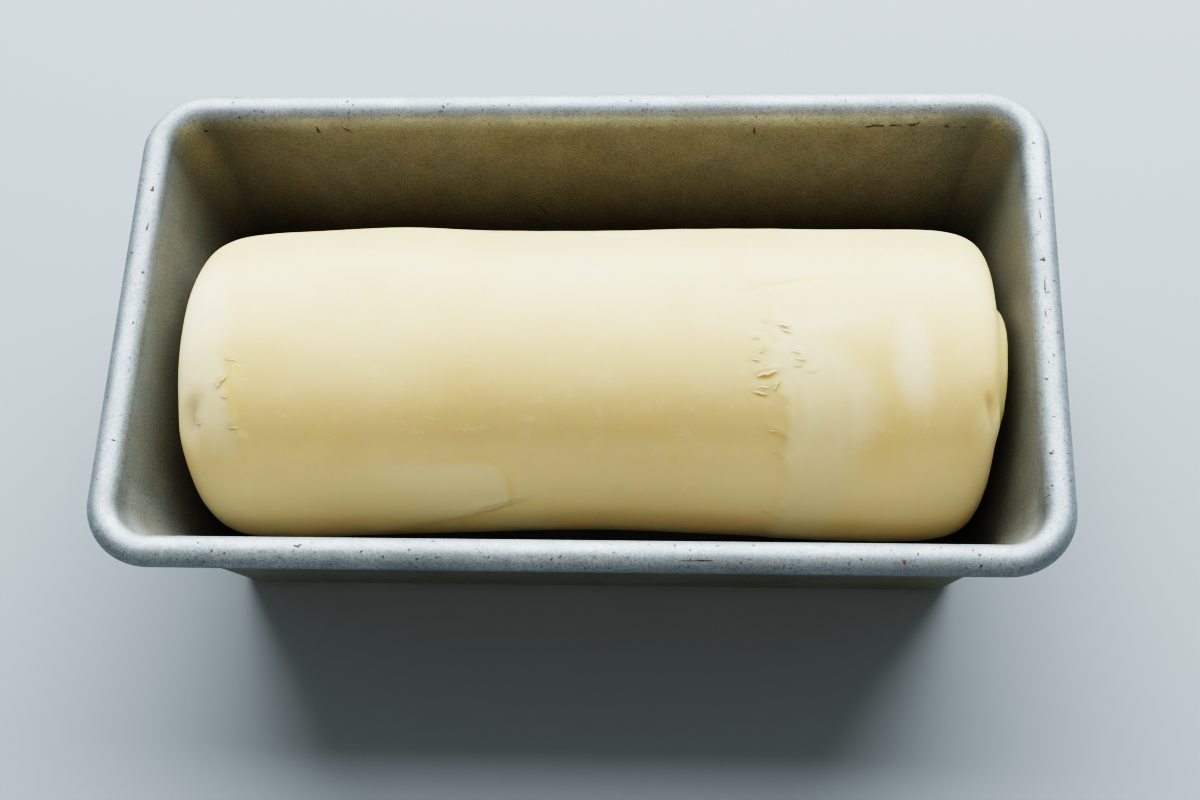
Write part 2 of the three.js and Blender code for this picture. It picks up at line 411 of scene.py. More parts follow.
# The finer specks over the bead.
SPECK_SEED = 7
SPECK_COUNT = 90
SPECK_MARGIN = 0.8           # how far they stay from the bead's two sides
SPECK_WIDTHS = (0.25, 0.6)
SPECK_STRETCH = 2.2          # the most that one is longer than it is wide


def chip_rings(tin, x, y, z, length, width, turn):
    """A low speck with a ragged outline, laid on the nearest face of the tin."""
    place, normal = tin.nearest(np.array([x, y, z]))
    right = np.cross((0.0, 1.0, 0.0), normal)
    if abs(right[0]) < 0.5:
        right = np.array([1.0, 0.0, 0.0])
    right = right / np.linalg.norm(right)
    up = np.cross(normal, right)
    angle = np.linspace(0, 2 * math.pi, CHIP_SIDES + 1)[:-1]
    ragged = 1 + 0.3 * np.sin(3 * angle + x) + 0.2 * np.sin(5 * angle + y)
    along, across = length / 2 * np.cos(angle) * ragged, width / 2 * np.sin(angle) * ragged
    cosine, sine = math.cos(math.radians(turn)), math.sin(math.radians(turn))
    flat = (np.outer(along * cosine - across * sine, right)
            + np.outer(along * sine + across * cosine, up))
    return np.array([place + share * flat + height * CHIP_HEIGHT * normal
                     for share, height in CHIP_RINGS])


def make_chips(tin):
    """The explicit chips, and a scatter of finer specks over the bead."""
    surface = Surface(tin)
    random = np.random.default_rng(SPECK_SEED)
    specks = []
    for _ in range(SPECK_COUNT):
        across = random.uniform(SPECK_MARGIN, 2 * BEAD_RADIUS - SPECK_MARGIN)
        if random.random() < RIM_LENGTH / (RIM_LENGTH + RIM_WIDTH):
            x = random.uniform(-1, 1) * (RIM_LENGTH / 2 - RIM_CORNER)
            y = random.choice([-1, 1]) * (RIM_WIDTH / 2 - across)
        else:
            x = random.choice([-1, 1]) * (RIM_LENGTH / 2 - across)
            y = random.uniform(-1, 1) * (RIM_WIDTH / 2 - RIM_CORNER)
        width = random.uniform(*SPECK_WIDTHS)
        length = width * random.uniform(1, SPECK_STRETCH)
        specks.append((x, y, TIN_HEIGHT, length, width, random.uniform(0, 180)))
    lofts = [(chip_rings(surface, *chip), {}) for chip in (*CHIPS, *specks)]
    return closed_mesh("tin_specks", lofts)


# ---------------------------------------------------------------- the dough's plain form
def power_curve(value, exponent):
    """Bends a sine or cosine into a superellipse's."""
    return np.sign(value) * np.abs(value) ** (2 / exponent)


def wall_reach(z):
    """How far the dough may go along X before it meets the tin's end wall."""
    return RIM_LENGTH / 2 - inner_inset(z) - GAP


def end_stations(reach):
    """How far along and how wide the log is, from its middle to the tip of one end, with the
    stations evenly spaced over the surface and closer together near the seams."""
    body = np.linspace(0, BODY_SHARE, OUTLINE_SAMPLES)
    body_width = (1 - body ** END_TAPER) ** (1 / END_BLUNTNESS)
    cap_width = np.linspace(body_width[-1], 0, OUTLINE_SAMPLES)[1:]
    along = np.concatenate([body, (1 - cap_width ** END_BLUNTNESS) ** (1 / END_TAPER)])
    width = np.concatenate([body_width, cap_width])
    steps = np.hypot(np.diff(along) * reach, np.diff(width) * LOG_FRONT)
    middle = (along[1:] + along[:-1]) / 2 * reach
    density = 1 + SEAM_CROWDING * sum(hump(middle - x, spread) for x, spread in SEAM_CROWDS)
    travelled = np.concatenate([[0], np.cumsum(steps * density)])
    chosen = np.linspace(0, travelled[-1], RINGS_PER_END)
    return np.interp(chosen, travelled, along), np.interp(chosen, travelled, width)


def around_angles():
    """Angles round the log from its back over the top, closest together at the upper front."""
    even = np.linspace(0, 2 * math.pi, ANGLE_SAMPLES)
    density = 1 + CROWDING * np.cos(even - math.radians(CROWDED_ANGLE))
    travelled = np.concatenate([[0], np.cumsum((density[1:] + density[:-1]) / 2)])
    chosen = np.linspace(0, travelled[-1], AROUND_STEPS + 1)[:-1]
    return np.interp(chosen, travelled, even)


def log_points(side, along, width, angle):
    """Points of the plain log. side is -1 to the left and 1 to the right of the middle."""
    reach = np.where(side < 0, LOG_LEFT, LOG_RIGHT)
    straight_x = side * reach * along
    waist = hump(straight_x - WAIST_X, WAIST_REACH)
    sine = np.sin(angle)
    roundness = np.where(sine > 0, TOP_ROUNDNESS, LOW_ROUNDNESS)
    across = power_curve(np.cos(angle), roundness)
    across = across * width ** np.where(across > 0, END_BACK, END_FRONT)
    up = power_curve(sine, roundness) * width
    z = np.maximum(AXIS_HEIGHT + np.where(up > 0, LOG_RISE, LOG_DROP) * up, SHEET + GAP)
    room = wall_reach(z) / reach
    lean = 1 - LEAN_SOFTNESS * np.log1p(np.exp((1 - room) / LEAN_SOFTNESS))
    x = straight_x * lean
    half = np.where(across > 0, LOG_BACK - WAIST_BACK * waist, LOG_FRONT - WAIST_FRONT * waist)
    y = LOG_Y + LOG_YAW * x + half * across
    return np.stack([x, y, z], axis=-1)


def outward(rings):
    """Unit normals of rings of points."""
    around = np.roll(rings, -1, axis=1) - np.roll(rings, 1, axis=1)
    along = np.gradient(rings, axis=0)
    normal = np.cross(around, along)
    return normal / np.linalg.norm(normal, axis=-1, keepdims=True)


# ---------------------------------------------------------------- relief and patches of the dough
class Skin:
    """The dough's plain surface with its own chart: x along the log, and the distance round it
    from the ridge of the top, which grows towards the front."""

    def __init__(self, rings, width, side, angle):
        self.shape = rings.shape[:2]
        self.points = rings.reshape(-1, 3)
        self.x, self.y, self.z = self.points.T
        self.width = np.repeat(width, len(angle))
        self.side = np.repeat(side, len(angle))
        self.fine_angle = np.linspace(0, 2 * math.pi, CHART_SAMPLES)
        middle = log_points(np.array(1), np.array(0.0), np.array(1.0), self.fine_angle)
        steps = np.linalg.norm(np.diff(middle, axis=0), axis=1)
        self.travelled = np.concatenate([[0], np.cumsum(steps)])
        self.round = np.tile(self.at_angle(np.degrees(angle)), len(width))

    def at_angle(self, degrees):
        """Distance round the log from the top, from degrees measured from the back."""
        gone = np.interp(np.radians(degrees), self.fine_angle, self.travelled)
        return gone - np.interp(math.pi / 2, self.fine_angle, self.travelled)

    def angle_at(self, distance):
        """The angle from the back, in radians, from the distance round the log."""
        top = np.interp(math.pi / 2, self.fine_angle, self.travelled)
        return np.interp(distance + top, self.travelled, self.fine_angle)

    def from_spot(self, x, degrees, turn=0.0):
        """Distances along and across a direction, from a spot on the surface."""
        right = self.x - x
        down = self.round - self.at_angle(degrees)
        cosine, sine = math.cos(math.radians(turn)), math.sin(math.radians(turn))
        return right * cosine + down * sine, down * cosine - right * sine

    def line(self, angles, places):
        """The x of a seam at each point's distance round the log."""
        return np.interp(self.round, self.at_angle(np.array(angles)), places)


# The loose end of the outer layer, on the front at the left.
FLAP_HEIGHT = 0.7
FLAP_TOP = 57.0              # its upper edge
FLAP_RIGHT = -18.0           # its right edge
FLAP_LEFT = -77.0            # where it fades into the skin
FLAP_FADE = 5.0
FLAP_TIP_X, FLAP_TIP_Z = -14.0, 44.5
FLAP_SLOPE = 0.45            # fall of its lower edge towards the left
FLAP_CORNER = 6.0            # radius of its upper right corner
FLAP_FORWARD = 8             # it keeps this far in front of the log's axis
FLAP_WOBBLE = 0.8
FLAP_THINNING = 9            # height over which it thins out to its upper edge

# The rolled layers on the ends.
CORE_Y, CORE_Z = -5.0, 48.5
CORE_RADIUS = 17.0           # the inner roll stands out of the right end
CORE_BULGE = 2.0
CORE_SOFTNESS = 0.5
CORE_END = 0.88              # the core's relief stops where the log is this share of its width
ROLL_PITCH = 10.5            # spacing of the rolled layers seen on the ends
ROLL_GROOVE = 1.0
ROLL_GROOVE_WIDTH = 1.3
ROLL_LIP = 0.35              # the raised edge outside the groove, its distance and its width
ROLL_LIP_PLACE = 2.4
ROLL_LIP_WIDTH = 1.6
GROOVE_END = 0.78            # the groove's relief stops further in
END_FADE = 0.02

# The notch in each end's edge: x, y, z and reach.
NOTCHES = ((-95.5, -25.0, 63.0, 4.6), (99.8, -21.0, 64.2, 3.2))
NOTCH_DEPTH = 1.9
NOTCH_LIP = 0.8
NOTCH_SLOPE = 0.9            # how steeply it rises towards the back
NOTCH_SLANT = 1.35           # about the length of one step along that slope

# Seams, as angles round the log and distances from the middle: where the paler skin begins at
# the right, where it ends, and where it begins at the left.
SEAM_ANGLES = (70, 84, 98, 110, 118, 134, 155, 168, 180)
SEAM_PLACES = (40, 46, 45.5, 45, 48.5, 49.8, 50.5, 48, 47)
BAND_ANGLES = (70, 86, 93, 97, 102, 109, 116, 128, 138, 152, 167, 180)
BAND_PLACES = (84, 80, 61, 58, 64, 70, 72.5, 71.6, 69, 68.3, 65, 63)
LEFT_ANGLES = (60, 97, 110, 125, 133, 140, 150, 162, 180)
LEFT_PLACES = (88, 86, 85.2, 84.6, 81.8, 81.5, 83, 84.3, 86)

# Torn flakes of skin: x, angle round the log, length, width, lift, turn in degrees.
FLAKES = (
    (49.2, 91.4, 3.4, 1.2, 0.45, 12),
    (49.9, 93.6, 3.0, 1.1, 0.35, 16),
    (42.2, 96.5, 2.2, 0.8, 0.20, 5),
    (44.6, 90.0, 1.8, 0.9, 0.25, 40),
    (43.4, 101.5, 2.0, 0.9, 0.25, -25),
    (42.6, 104.5, 2.4, 0.9, 0.30, 10),
    (44.9, 106.0, 2.0, 0.8, 0.25, -30),
    (45.0, 109.0, 5.4, 1.5, 0.60, -14),
    (52.2, 101.5, 2.4, 0.9, 0.28, 12),
    (53.2, 104.0, 3.2, 1.0, 0.32, 6),
    (52.4, 106.5, 2.6, 0.8, 0.25, -4),
    (55.6, 108.6, 3.0, 0.7, 0.15, -8),
    (43.6, 116.4, 3.8, 1.1, 0.45, 12),
    (44.4, 114.4, 2.6, 0.9, 0.30, 8),
    (46.9, 114.2, 2.8, 1.0, 0.45, -62),
    (46.6, 130.6, 2.2, 0.9, 0.25, 6),
    (47.0, 138.8, 2.4, 0.7, 0.20, 8),
    (48.4, 140.6, 2.0, 0.7, 0.18, -14),
    (45.8, 169.0, 2.6, 1.0, 0.28, 38),
    (47.8, 171.6, 2.6, 1.0, 0.28, -18),
    (49.6, 166.8, 2.4, 0.8, 0.18, 6),
    (52.4, 164.6, 3.4, 0.6, 0.12, 4),
    (-88.3, 113.0, 2.2, 1.2, 0.40, -48),
    (-87.0, 110.6, 2.6, 1.2, 0.45, -38),
    (-86.2, 116.8, 1.6, 0.9, 0.35, 20),
    (-84.6, 103.6, 3.6, 0.8, 0.18, 8),
    (-84.4, 128.0, 2.8, 1.3, 0.30, 0),
    (-94.0, 127.2, 2.8, 1.6, 0.35, -8),
    (-21.2, 166.6, 14.0, 2.2, 0.50, -17),
)
FLAKE_RINGS = 15
FLAKE_STEPS = 7
FLAKE_THICKNESS = 0.2
FLAKE_EDGE = 0.6             # share of the thickness lost at the free edge
FLAKE_ROOT = 0.2             # how deep the root lies in the skin
FLAKE_ABOVE = 0.4            # share of the width above the flake's own place
FLAKE_TIPS = 0.98            # how nearly it comes to a point at its two tips
FLAKE_BOW = 0.07
FLAKE_RIPPLE = 0.12          # ripple of the free edge, as a share of the width
FLAKE_RIPPLES = 7
FLAKE_LIFT = 0.6             # share of a flake's lift that its free edge is raised by
FLAKE_CURL = 1.3

# Pale streaks on the right: x and angle of the middle, half length, half width, turn in degrees.
STREAKS = ((79.5, 160.5, 9.0, 1.8, 121), (87.3, 163.5, 9.0, 1.6, 127), (62.2, 102, 2.2, 1.6, 60))
# The pale lobe at the right: x and angle of the middle, half length, half width, turn.
LOBE = (79.8, 104.5, 11.5, 4.4, 84)
# The shallow warm crease over the top at the right: x and angle of its middle, and its turn.
CREASE = (48.0, 76.0, -14.0)
CREASE_BEND = 0.006
CREASE_DEPTH = 0.25
# The log's gentle unevenness: size, seed and height of each layer of noise.
SWELLS = ((42, 1, 0.40), (17, 2, 0.15), (6, 4, 0.05))


def flap_share(skin, edge):
    """How far a point lies on the flap, with edges as soft as edge."""
    wobble = FLAP_WOBBLE * lattice_noise(skin.points, 9, 3)
    lower = FLAP_TIP_Z + FLAP_SLOPE * (skin.x - FLAP_TIP_X) + wobble
    corner = np.hypot(np.maximum(skin.x - FLAP_RIGHT + FLAP_CORNER, 0),
                      np.maximum(skin.z - FLAP_TOP + FLAP_CORNER, 0))
    return (soft_step(LOG_Y - FLAP_FORWARD - skin.y, 1)
            * soft_step(skin.x - FLAP_LEFT, FLAP_FADE)
            * soft_step(FLAP_CORNER + 0.5 * wobble - corner, edge)
            * soft_step(skin.z - lower, edge))


def flap_relief(skin):
    """The flap thins out to nothing towards its upper edge. On its left it is thinner and softer."""
    depth = np.clip((FLAP_TOP + 1 - skin.z) / FLAP_THINNING, 0, 1)
    thinner = 0.3 + 0.7 * soft_step(skin.x + 48, 6)
    edge = 0.3 + 1.2 * soft_step(-30 - skin.x, 4)
    return FLAP_HEIGHT * depth * thinner * flap_share(skin, edge)


def end_relief(skin):
    """The spiral groove of the rolled layers on both ends, and the inner roll on the right one."""
    y, z = skin.y - CORE_Y, skin.z - CORE_Z
    radius = np.hypot(y, z)
    turn = radius / ROLL_PITCH - skin.side * np.arctan2(z, y) / (2 * math.pi)
    from_groove = (turn - np.round(turn)) * ROLL_PITCH
    groove = ROLL_GROOVE * hump(from_groove, ROLL_GROOVE_WIDTH)
    lip = ROLL_LIP * hump(from_groove - ROLL_LIP_PLACE, ROLL_LIP_WIDTH)
    bulge = np.where(skin.side > 0, CORE_BULGE * soft_step(CORE_RADIUS - radius, CORE_SOFTNESS), 0)
    return (soft_step(CORE_END - skin.width, END_FADE) * bulge
            + soft_step(GROOVE_END - skin.width, END_FADE) * (lip - groove))


def notch_relief(skin):
    """The notch in each end's edge, with the layer below it standing out as a lip."""
    total = np.zeros(len(skin.x))
    for x, y, z, reach in NOTCHES:
        near = hump(skin.x - x, 0.8 * reach)
        above = ((skin.z - z) - NOTCH_SLOPE * (skin.y - y)) / NOTCH_SLANT
        total -= NOTCH_DEPTH * near * hump(above - 0.6, 0.9) * hump(skin.y - y, reach)
        total += NOTCH_LIP * near * hump(above + 2.4, 1.9) * hump(skin.y - y + 1.5, reach)
    return total


def flake_beds(skin):
    """The skin is pushed up a little round each flake, and torn away just below it."""
    total = np.zeros(len(skin.x))
    for x, degrees, length, width, lift, turn in FLAKES:
        along, across = skin.from_spot(x, degrees, turn)
        share = lift * hump(along, 0.45 * length)
        total += 0.5 * share * hump(across + 0.3 * width, 0.7 * width)
        total -= 0.4 * share * hump(across - width, 0.6 * width)
    return total


def past_seams(skin):
    """For the right and left seams: how far each point lies past the seam towards its end."""
    right = skin.x - skin.line(SEAM_ANGLES, SEAM_PLACES)
    left = -skin.x - skin.line(LEFT_ANGLES, LEFT_PLACES)
    return right, left


def seam_relief(skin):
    """Small steps where the layers' edges show through, lumpy along the edge."""
    rough = lattice_noise(skin.points, 3.2, 11) + 0.5 * lattice_noise(skin.points, 1.6, 12)
    seen = soft_step(skin.round + 18, 2) * soft_step(75 - skin.round, 4)
    total = np.zeros(len(skin.x))
    for past, strength in zip(past_seams(skin), (1.0, 0.7)):
        past = past + 1.1 * rough
        step = 0.22 * soft_step(past, 0.5) * hump(np.maximum(past, 0), 14)
        total += strength * seen * (step + 0.14 * hump(past, 1.6) * (1 + rough))
    return total


def crease_share(skin, width, reach):
    """How far a point lies in the crease."""
    x, degrees, turn = CREASE
    along, across = skin.from_spot(x, degrees, turn)
    return hump(across - CREASE_BEND * along ** 2, width) * hump(along, reach)


def skin_relief(skin):
    """How far each point of the skin stands out of the plain log."""
    gentle = sum(height * lattice_noise(skin.points, size, seed) for size, seed, height in SWELLS)
    back_swell = 0.7 * hump(skin.x + 48, 16) * hump(skin.round + 40, 22)
    crease = CREASE_DEPTH * crease_share(skin, 0.9, 12)
    return (gentle + back_swell - crease + flap_relief(skin)
            + end_relief(skin) + notch_relief(skin) + flake_beds(skin) + seam_relief(skin))


def pale_patches(skin):
    """Where the skin is whiter: a band past the right seam, a lobe, streaks, an edge near the
    right end that is a painted highlight on the lip below its notch, the skin past the left seam,
    and the flap."""
    rough = 1.1 * lattice_noise(skin.points, 4, 21) + 0.7 * lattice_noise(skin.points, 2, 22)
    past_right, past_left = past_seams(skin)
    before_edge = skin.line(BAND_ANGLES, BAND_PLACES) - skin.x + 0.7 * rough
    upper = soft_step(skin.round - skin.at_angle(84) + 0.5 * rough, 2.5)
    streaky = 0.60 + 0.10 * lattice_noise(skin.points * np.array([1, 0.2, 0.2]), 2.2, 23)
    streaky = streaky + 0.16 * lattice_noise(skin.points, 13, 24)
    band = soft_step(past_right + rough, 0.8) * soft_step(before_edge, 2.2) * upper * streaky
    x, degrees, length, width, turn = LOBE
    along, across = skin.from_spot(x, degrees, turn)
    lobe = 0.95 * soft_step(1 - np.hypot(along / length, (across + 0.6 * rough) / width), 0.3)
    streaks = np.zeros(len(skin.x))
    for x, degrees, length, width, turn in STREAKS:
        along, across = skin.from_spot(x, degrees, turn)
        streaks = np.maximum(streaks, 0.4 * hump(across, width) * hump(along, length))
    # Painted highlight: a paler edge near the right end, on the raised lip below its notch.
    edge = (soft_step(skin.x - 93.5 + rough, 0.8) * soft_step(skin.round - skin.at_angle(120), 1.2)
            * soft_step(skin.at_angle(146) - skin.round, 4))
    left = (soft_step(past_left + rough, 1.6) * soft_step(skin.round + 20, 6)
            * soft_step(skin.at_angle(139) - skin.round, 2.5))
    flap = 0.62 * flap_share(skin, 0.8) * (0.35 + 0.65 * soft_step(skin.x + 50, 10))
    patches = [band, lobe, streaks, 0.5 * edge, 0.8 * left, flap]
    return np.clip(np.maximum.reduce(patches), 0, 1)


def warm_patches(skin):
    """Where the skin is yellower: the crease, the seams, the flap's edge, and a painted shadow
    below each flake, over its torn bed."""
    past_right, past_left = past_seams(skin)
    total = 0.7 * crease_share(skin, 1.3, 13)
    seam_part = soft_step(skin.round - skin.at_angle(103), 0.7)
    seam_part = seam_part * soft_step(skin.at_angle(127) - skin.round, 1.2)
    total += 0.9 * hump(past_left + 0.4, 0.8) * seam_part
    total += 0.15 * hump(past_right + 1.5, 1.2) * soft_step(skin.round - skin.at_angle(118), 2)
    flap_edge = flap_share(skin, 0.35)
    total += 2.0 * flap_edge * (1 - flap_edge) * soft_step(skin.x + 30, 3)
    # Painted shadow: a yellow line on the skin just below each flake's free edge.
    for x, degrees, length, width, lift, turn in FLAKES:
        along, across = skin.from_spot(x, degrees, turn)
        total += 2.0 * lift * hump(along, 0.42 * length) * hump(across - 0.95 * width, 0.6 * width)
    return np.clip(total, 0, 1)


def flake_rings(skin, surface, x, degrees, length, width, lift, turn):
    """Rings over one flake from its left tip to its right, rooted along its upper edge, and how
    far across the flake each of their points lies."""
    run = np.linspace(-1, 1, FLAKE_RINGS)
    cross = np.linspace(0, 1, FLAKE_STEPS)
    along, across = np.meshgrid(run, cross, indexing="ij")
    taper = np.sqrt(1 - FLAKE_TIPS * along ** 2)
    right = 0.5 * length * along
    down = width * (across - FLAKE_ABOVE) * taper + FLAKE_BOW * length * along ** 2
    down = down + FLAKE_RIPPLE * width * np.sin(FLAKE_RIPPLES * along + x) * across
    cosine, sine = math.cos(math.radians(turn)), math.sin(math.radians(turn))
    chart_x = x + right * cosine - down * sine
    chart_round = skin.at_angle(degrees) + right * sine + down * cosine
    side = np.sign(chart_x)
    reach = np.abs(chart_x) / np.where(side < 0, LOG_LEFT, LOG_RIGHT)
    share = (1 - reach ** END_TAPER) ** (1 / END_BLUNTNESS)
    plain = log_points(side, reach, share, skin.angle_at(chart_round))
    place, normal = surface.nearest(plain)
    top = FLAKE_LIFT * lift * across ** FLAKE_CURL * taper - FLAKE_ROOT * (1 - across)
    bottom = top - FLAKE_THICKNESS * (1 - FLAKE_EDGE * across)
    upper = place + normal * top[..., None]
    lower = place + normal * bottom[..., None]
    return np.concatenate([upper, lower[:, ::-1]], axis=1), np.hstack([across, across[:, ::-1]])


def make_flakes(skin, dough):
    surface = Surface(dough)
    lofts = []
    for flake in FLAKES:
        rings, across = flake_rings(skin, surface, *flake)
        # Flakes are pale skin, paler still towards the free edge as a painted highlight, and
        # yellower at the root.
        lofts.append((rings, {"pale": 0.2 + 0.4 * across, "warm": 0.3 * (1 - across)}))
    return closed_mesh("dough_flakes", lofts)


def make_dough():
    """The dough and its chart. The fields pale and warm say where its skin is whiter or yellower."""
    angle = around_angles()
    left_along, left_width = end_stations(LOG_LEFT)
    right_along, right_width = end_stations(LOG_RIGHT)
    side = np.concatenate([-np.ones(RINGS_PER_END - 1), np.ones(RINGS_PER_END - 2)])
    along = np.concatenate([left_along[-2::-1], right_along[1:-1]])
    width = np.concatenate([left_width[-2::-1], right_width[1:-1]])
    plain = log_points(side[:, None], along[:, None], width[:, None], angle[None, :])
    skin = Skin(plain, width, side, angle)
    relief = skin_relief(skin).reshape(skin.shape)
    rings = plain + outward(plain) * relief[..., None]
    rings[..., 2] = np.maximum(rings[..., 2], SHEET + GAP)
    reach = wall_reach(rings[..., 2])
    rings[..., 0] = np.clip(rings[..., 0], -reach, reach)
    fields = {"pale": pale_patches(skin).reshape(skin.shape),
              "warm": warm_patches(skin).reshape(skin.shape)}
    return skin, closed_mesh("dough", [(rings, fields)])


# ---------------------------------------------------------------- materials
def dough_material(name, scatter):
    """Raw dough, tan and cream in soft clouds, with white flecks and the mesh's own patches,
    painted shade at the shoulder below the top and painted light low down.
    """
    nodes = Nodes(name)
    shader = nodes.shader.inputs
    where = nodes.place()
    cream = rgb(0.75, 0.58, 0.31)
    tan = rgb(0.72, 0.52, 0.25)
    white = rgb(0.79, 0.69, 0.45)
    butter = rgb(0.72, 0.50, 0.18)
    painted_shade_brown = rgb(0.64, 0.46, 0.22)
    painted_light_cream = rgb(0.90, 0.71, 0.41)
    clouds = nodes.ramp(nodes.noise(where, 26, 4, 0.55), 0.35, 0.68)
    colour = nodes.mix(clouds, cream, tan)
    # Painted shade: browner at the shoulder below the top. Heights are in metres.
    height = nodes.add("ShaderNodeSeparateXYZ", {0: where}).outputs["Z"]
    shoulder = nodes.math("MULTIPLY", nodes.ramp(height, 0.0715, 0.066),
                          nodes.ramp(height, 0.059, 0.064, 0, 0.7))
    colour = nodes.mix(shoulder, colour, painted_shade_brown)
    # Painted light: paler and creamier low down.
    low = nodes.math("MULTIPLY", nodes.ramp(height, 0.062, 0.050),
                     nodes.ramp(height, 0.036, 0.043, 0.4, 0.9))
    colour = nodes.mix(low, colour, painted_light_cream)
    flecks = nodes.noise(nodes.place((1, 1.3, 1.3)), 210, 3, 0.6)
    flecks = nodes.ramp(flecks, 0.58, 0.74, 0, 0.28)
    colour = nodes.mix(flecks, colour, white)
    pale = nodes.math("ADD", nodes.field("pale"), nodes.math(
        "MULTIPLY", nodes.math("SUBTRACT", nodes.noise(where, 340, 3, 0.6), 0.5), 0.35))
    colour = nodes.mix(nodes.ramp(pale, 0.15, 0.9, 0, 0.75), colour, white)
    colour = nodes.mix(nodes.math("MULTIPLY", nodes.field("warm"), 0.6), colour, butter)
    nodes.feed(shader["Base Color"], colour)
    rough = nodes.ramp(nodes.noise(where, 60, 3, 0.6), 0.3, 0.7, 0.40, 0.54)
    nodes.feed(shader["Roughness"], rough)
    grain = nodes.noise(where, 900, 4, 0.6)
    pores = nodes.noise(where, 260, 3, 0.5)
    normal = nodes.bump(pores, 0.10, 0.0006)
    normal = nodes.bump(grain, 0.05, 0.0003, normal)
    nodes.feed(shader["Normal"], normal)
    shader["Subsurface Weight"].default_value = scatter
    shader["Subsurface Radius"].default_value = (1.0, 0.55, 0.22)
    shader["Subsurface Scale"].default_value = 0.0045
    shader["Specular IOR Level"].default_value = 0.2
    return nodes.material


def tin_material():
    """Matt bare metal, mottled on the bead, with a thin brown film baked on to the walls, lifted by
    painted light low down.
    """
    nodes = Nodes("tin_metal")
    shader = nodes.shader.inputs
    where = nodes.place()
    bright = rgb(0.43, 0.475, 0.50)
    dull = rgb(0.31, 0.345, 0.365)
    film = rgb(0.26, 0.28, 0.275)
    lighter_film = rgb(0.37, 0.385, 0.36)
    fresh = rgb(0.43, 0.44, 0.42)
    stain = rgb(0.24, 0.215, 0.15)
    dark = rgb(0.05, 0.05, 0.05)
    clouds = nodes.ramp(nodes.noise(where, 35, 5, 0.6), 0.3, 0.7)
    mottle = nodes.ramp(nodes.noise(where, 620, 5, 0.8), 0.42, 0.62, 0, 0.8)
    colour = nodes.mix(clouds, bright, dull)
    colour = nodes.mix(mottle, colour, dull)
    # The walls: lighter at the ends, lightest inside the front, and lighter low down, which is
    # painted light in the deep shade near the dough. In metres.
    wall = nodes.field("wall")
    place = nodes.add("ShaderNodeSeparateXYZ", {0: where}).outputs
    on_end = nodes.ramp(nodes.math("ABSOLUTE", place["X"]), 0.095, 0.103, 0, 0.35)
    # Painted light: lighter low down on the walls, in the deep shade near the dough.
    ends_and_painted_low_light = nodes.math("MAXIMUM", on_end, nodes.ramp(place["Z"], 0.053, 0.030))
    in_front = nodes.math("MULTIPLY", nodes.ramp(place["Y"], -0.040, -0.046), nodes.field("inside"))
    colour = nodes.mix(wall, colour, nodes.mix(in_front, nodes.mix(ends_and_painted_low_light, film, lighter_film), fresh))
    smears = nodes.noise(nodes.place((1, 1, 0.4)), 32, 4, 0.6, 0.3)
    smears = nodes.math("MULTIPLY", nodes.ramp(smears, 0.3, 0.75, 0.2, 0.55), wall)
    colour = nodes.mix(smears, colour, stain)
    # Fine dark specks, most of them on the bead, and the grain of the metal.
    specks = nodes.ramp(nodes.noise(where, 1100, 3, 0.65), 0.60, 0.70, 0, 0.6)
    on_bead = nodes.math("SUBTRACT", 1.0, nodes.math("MULTIPLY", wall, 0.85))
    colour = nodes.mix(nodes.math("MULTIPLY", specks, on_bead), colour, dark)
    grain = nodes.ramp(nodes.noise(where, 2400, 2, 0.6), 0.35, 0.6, 0.3, 0)
    colour = nodes.mix(grain, colour, dark)
    nodes.feed(shader["Base Color"], colour)
    rough = nodes.ramp(nodes.noise(where, 120, 4, 0.6), 0.3, 0.7, 0.54, 0.66)
    rough = nodes.math("ADD", rough, nodes.math("MULTIPLY", wall, 0.15))
    nodes.feed(shader["Roughness"], rough)
    scratches = nodes.noise(nodes.place((1, 0.08, 0.08), (0, 0, 0.5)), 900, 3, 0.6)
    normal = nodes.bump(nodes.noise(where, 1100, 4, 0.7), 0.2, 0.0002)
    normal = nodes.bump(scratches, 0.06, 0.0002, normal)
    nodes.feed(shader["Normal"], normal)
    shader["Metallic"].default_value = 0.92
    return nodes.material


def speck_material():
    """The dark brown of baked-on drips."""
    nodes = Nodes("baked_on")
    tone = nodes.ramp(nodes.noise(nodes.place(), 220, 2), 0.35, 0.65)
    colour = nodes.mix(tone, rgb(0.035, 0.025, 0.015), rgb(0.12, 0.09, 0.05))
    nodes.feed(nodes.shader.inputs["Base Color"], colour)
    nodes.shader.inputs["Roughness"].default_value = 0.7
    return nodes.material


def floor_material():
    nodes = Nodes("floor")
    nodes.shader.inputs["Base Color"].default_value = FLOOR_COLOUR
    nodes.shader.inputs["Roughness"].default_value = 0.6
    return nodes.material


# ---------------------------------------------------------------- stage, light and camera
MIDDLE = (np.array(CAD_BOX[0]) + np.array(CAD_BOX[1])) / 2
VIEW_TURN = 9.857            # degrees
VIEW_HEIGHT = 64.974
VIEW_ROLL = 8.646
VIEW_DISTANCE = 0.4816
VIEW_AIM = Vector((MIDDLE[0] + 0.0027, MIDDLE[1] - 0.0063, MIDDLE[2]))
LENS = 56.07
SENSOR_WIDTH = 36
NEAREST_SEEN = 0.01
FLOOR_REACH = 2.0
FLOOR_COLOUR = rgb(0.262, 0.290, 0.308)
# A very wide window behind and above, and a weak warm fill from the front: name, place, size,
# power and colour.
LIGHTS = (
    ("window", (0.05, 0.98, 0.86), (2.05, 1.66), 83, (0.90, 0.97, 1.0)),
    ("fill", (0.0, -0.9, 0.95), (1.0, 1.0), 2.6, (1.0, 0.84, 0.65)),
)
ROOM_COLOUR = rgb(0.80, 0.88, 0.93)
ROOM_STRENGTH = 0.33
VIEW_GAMMA = 0.88


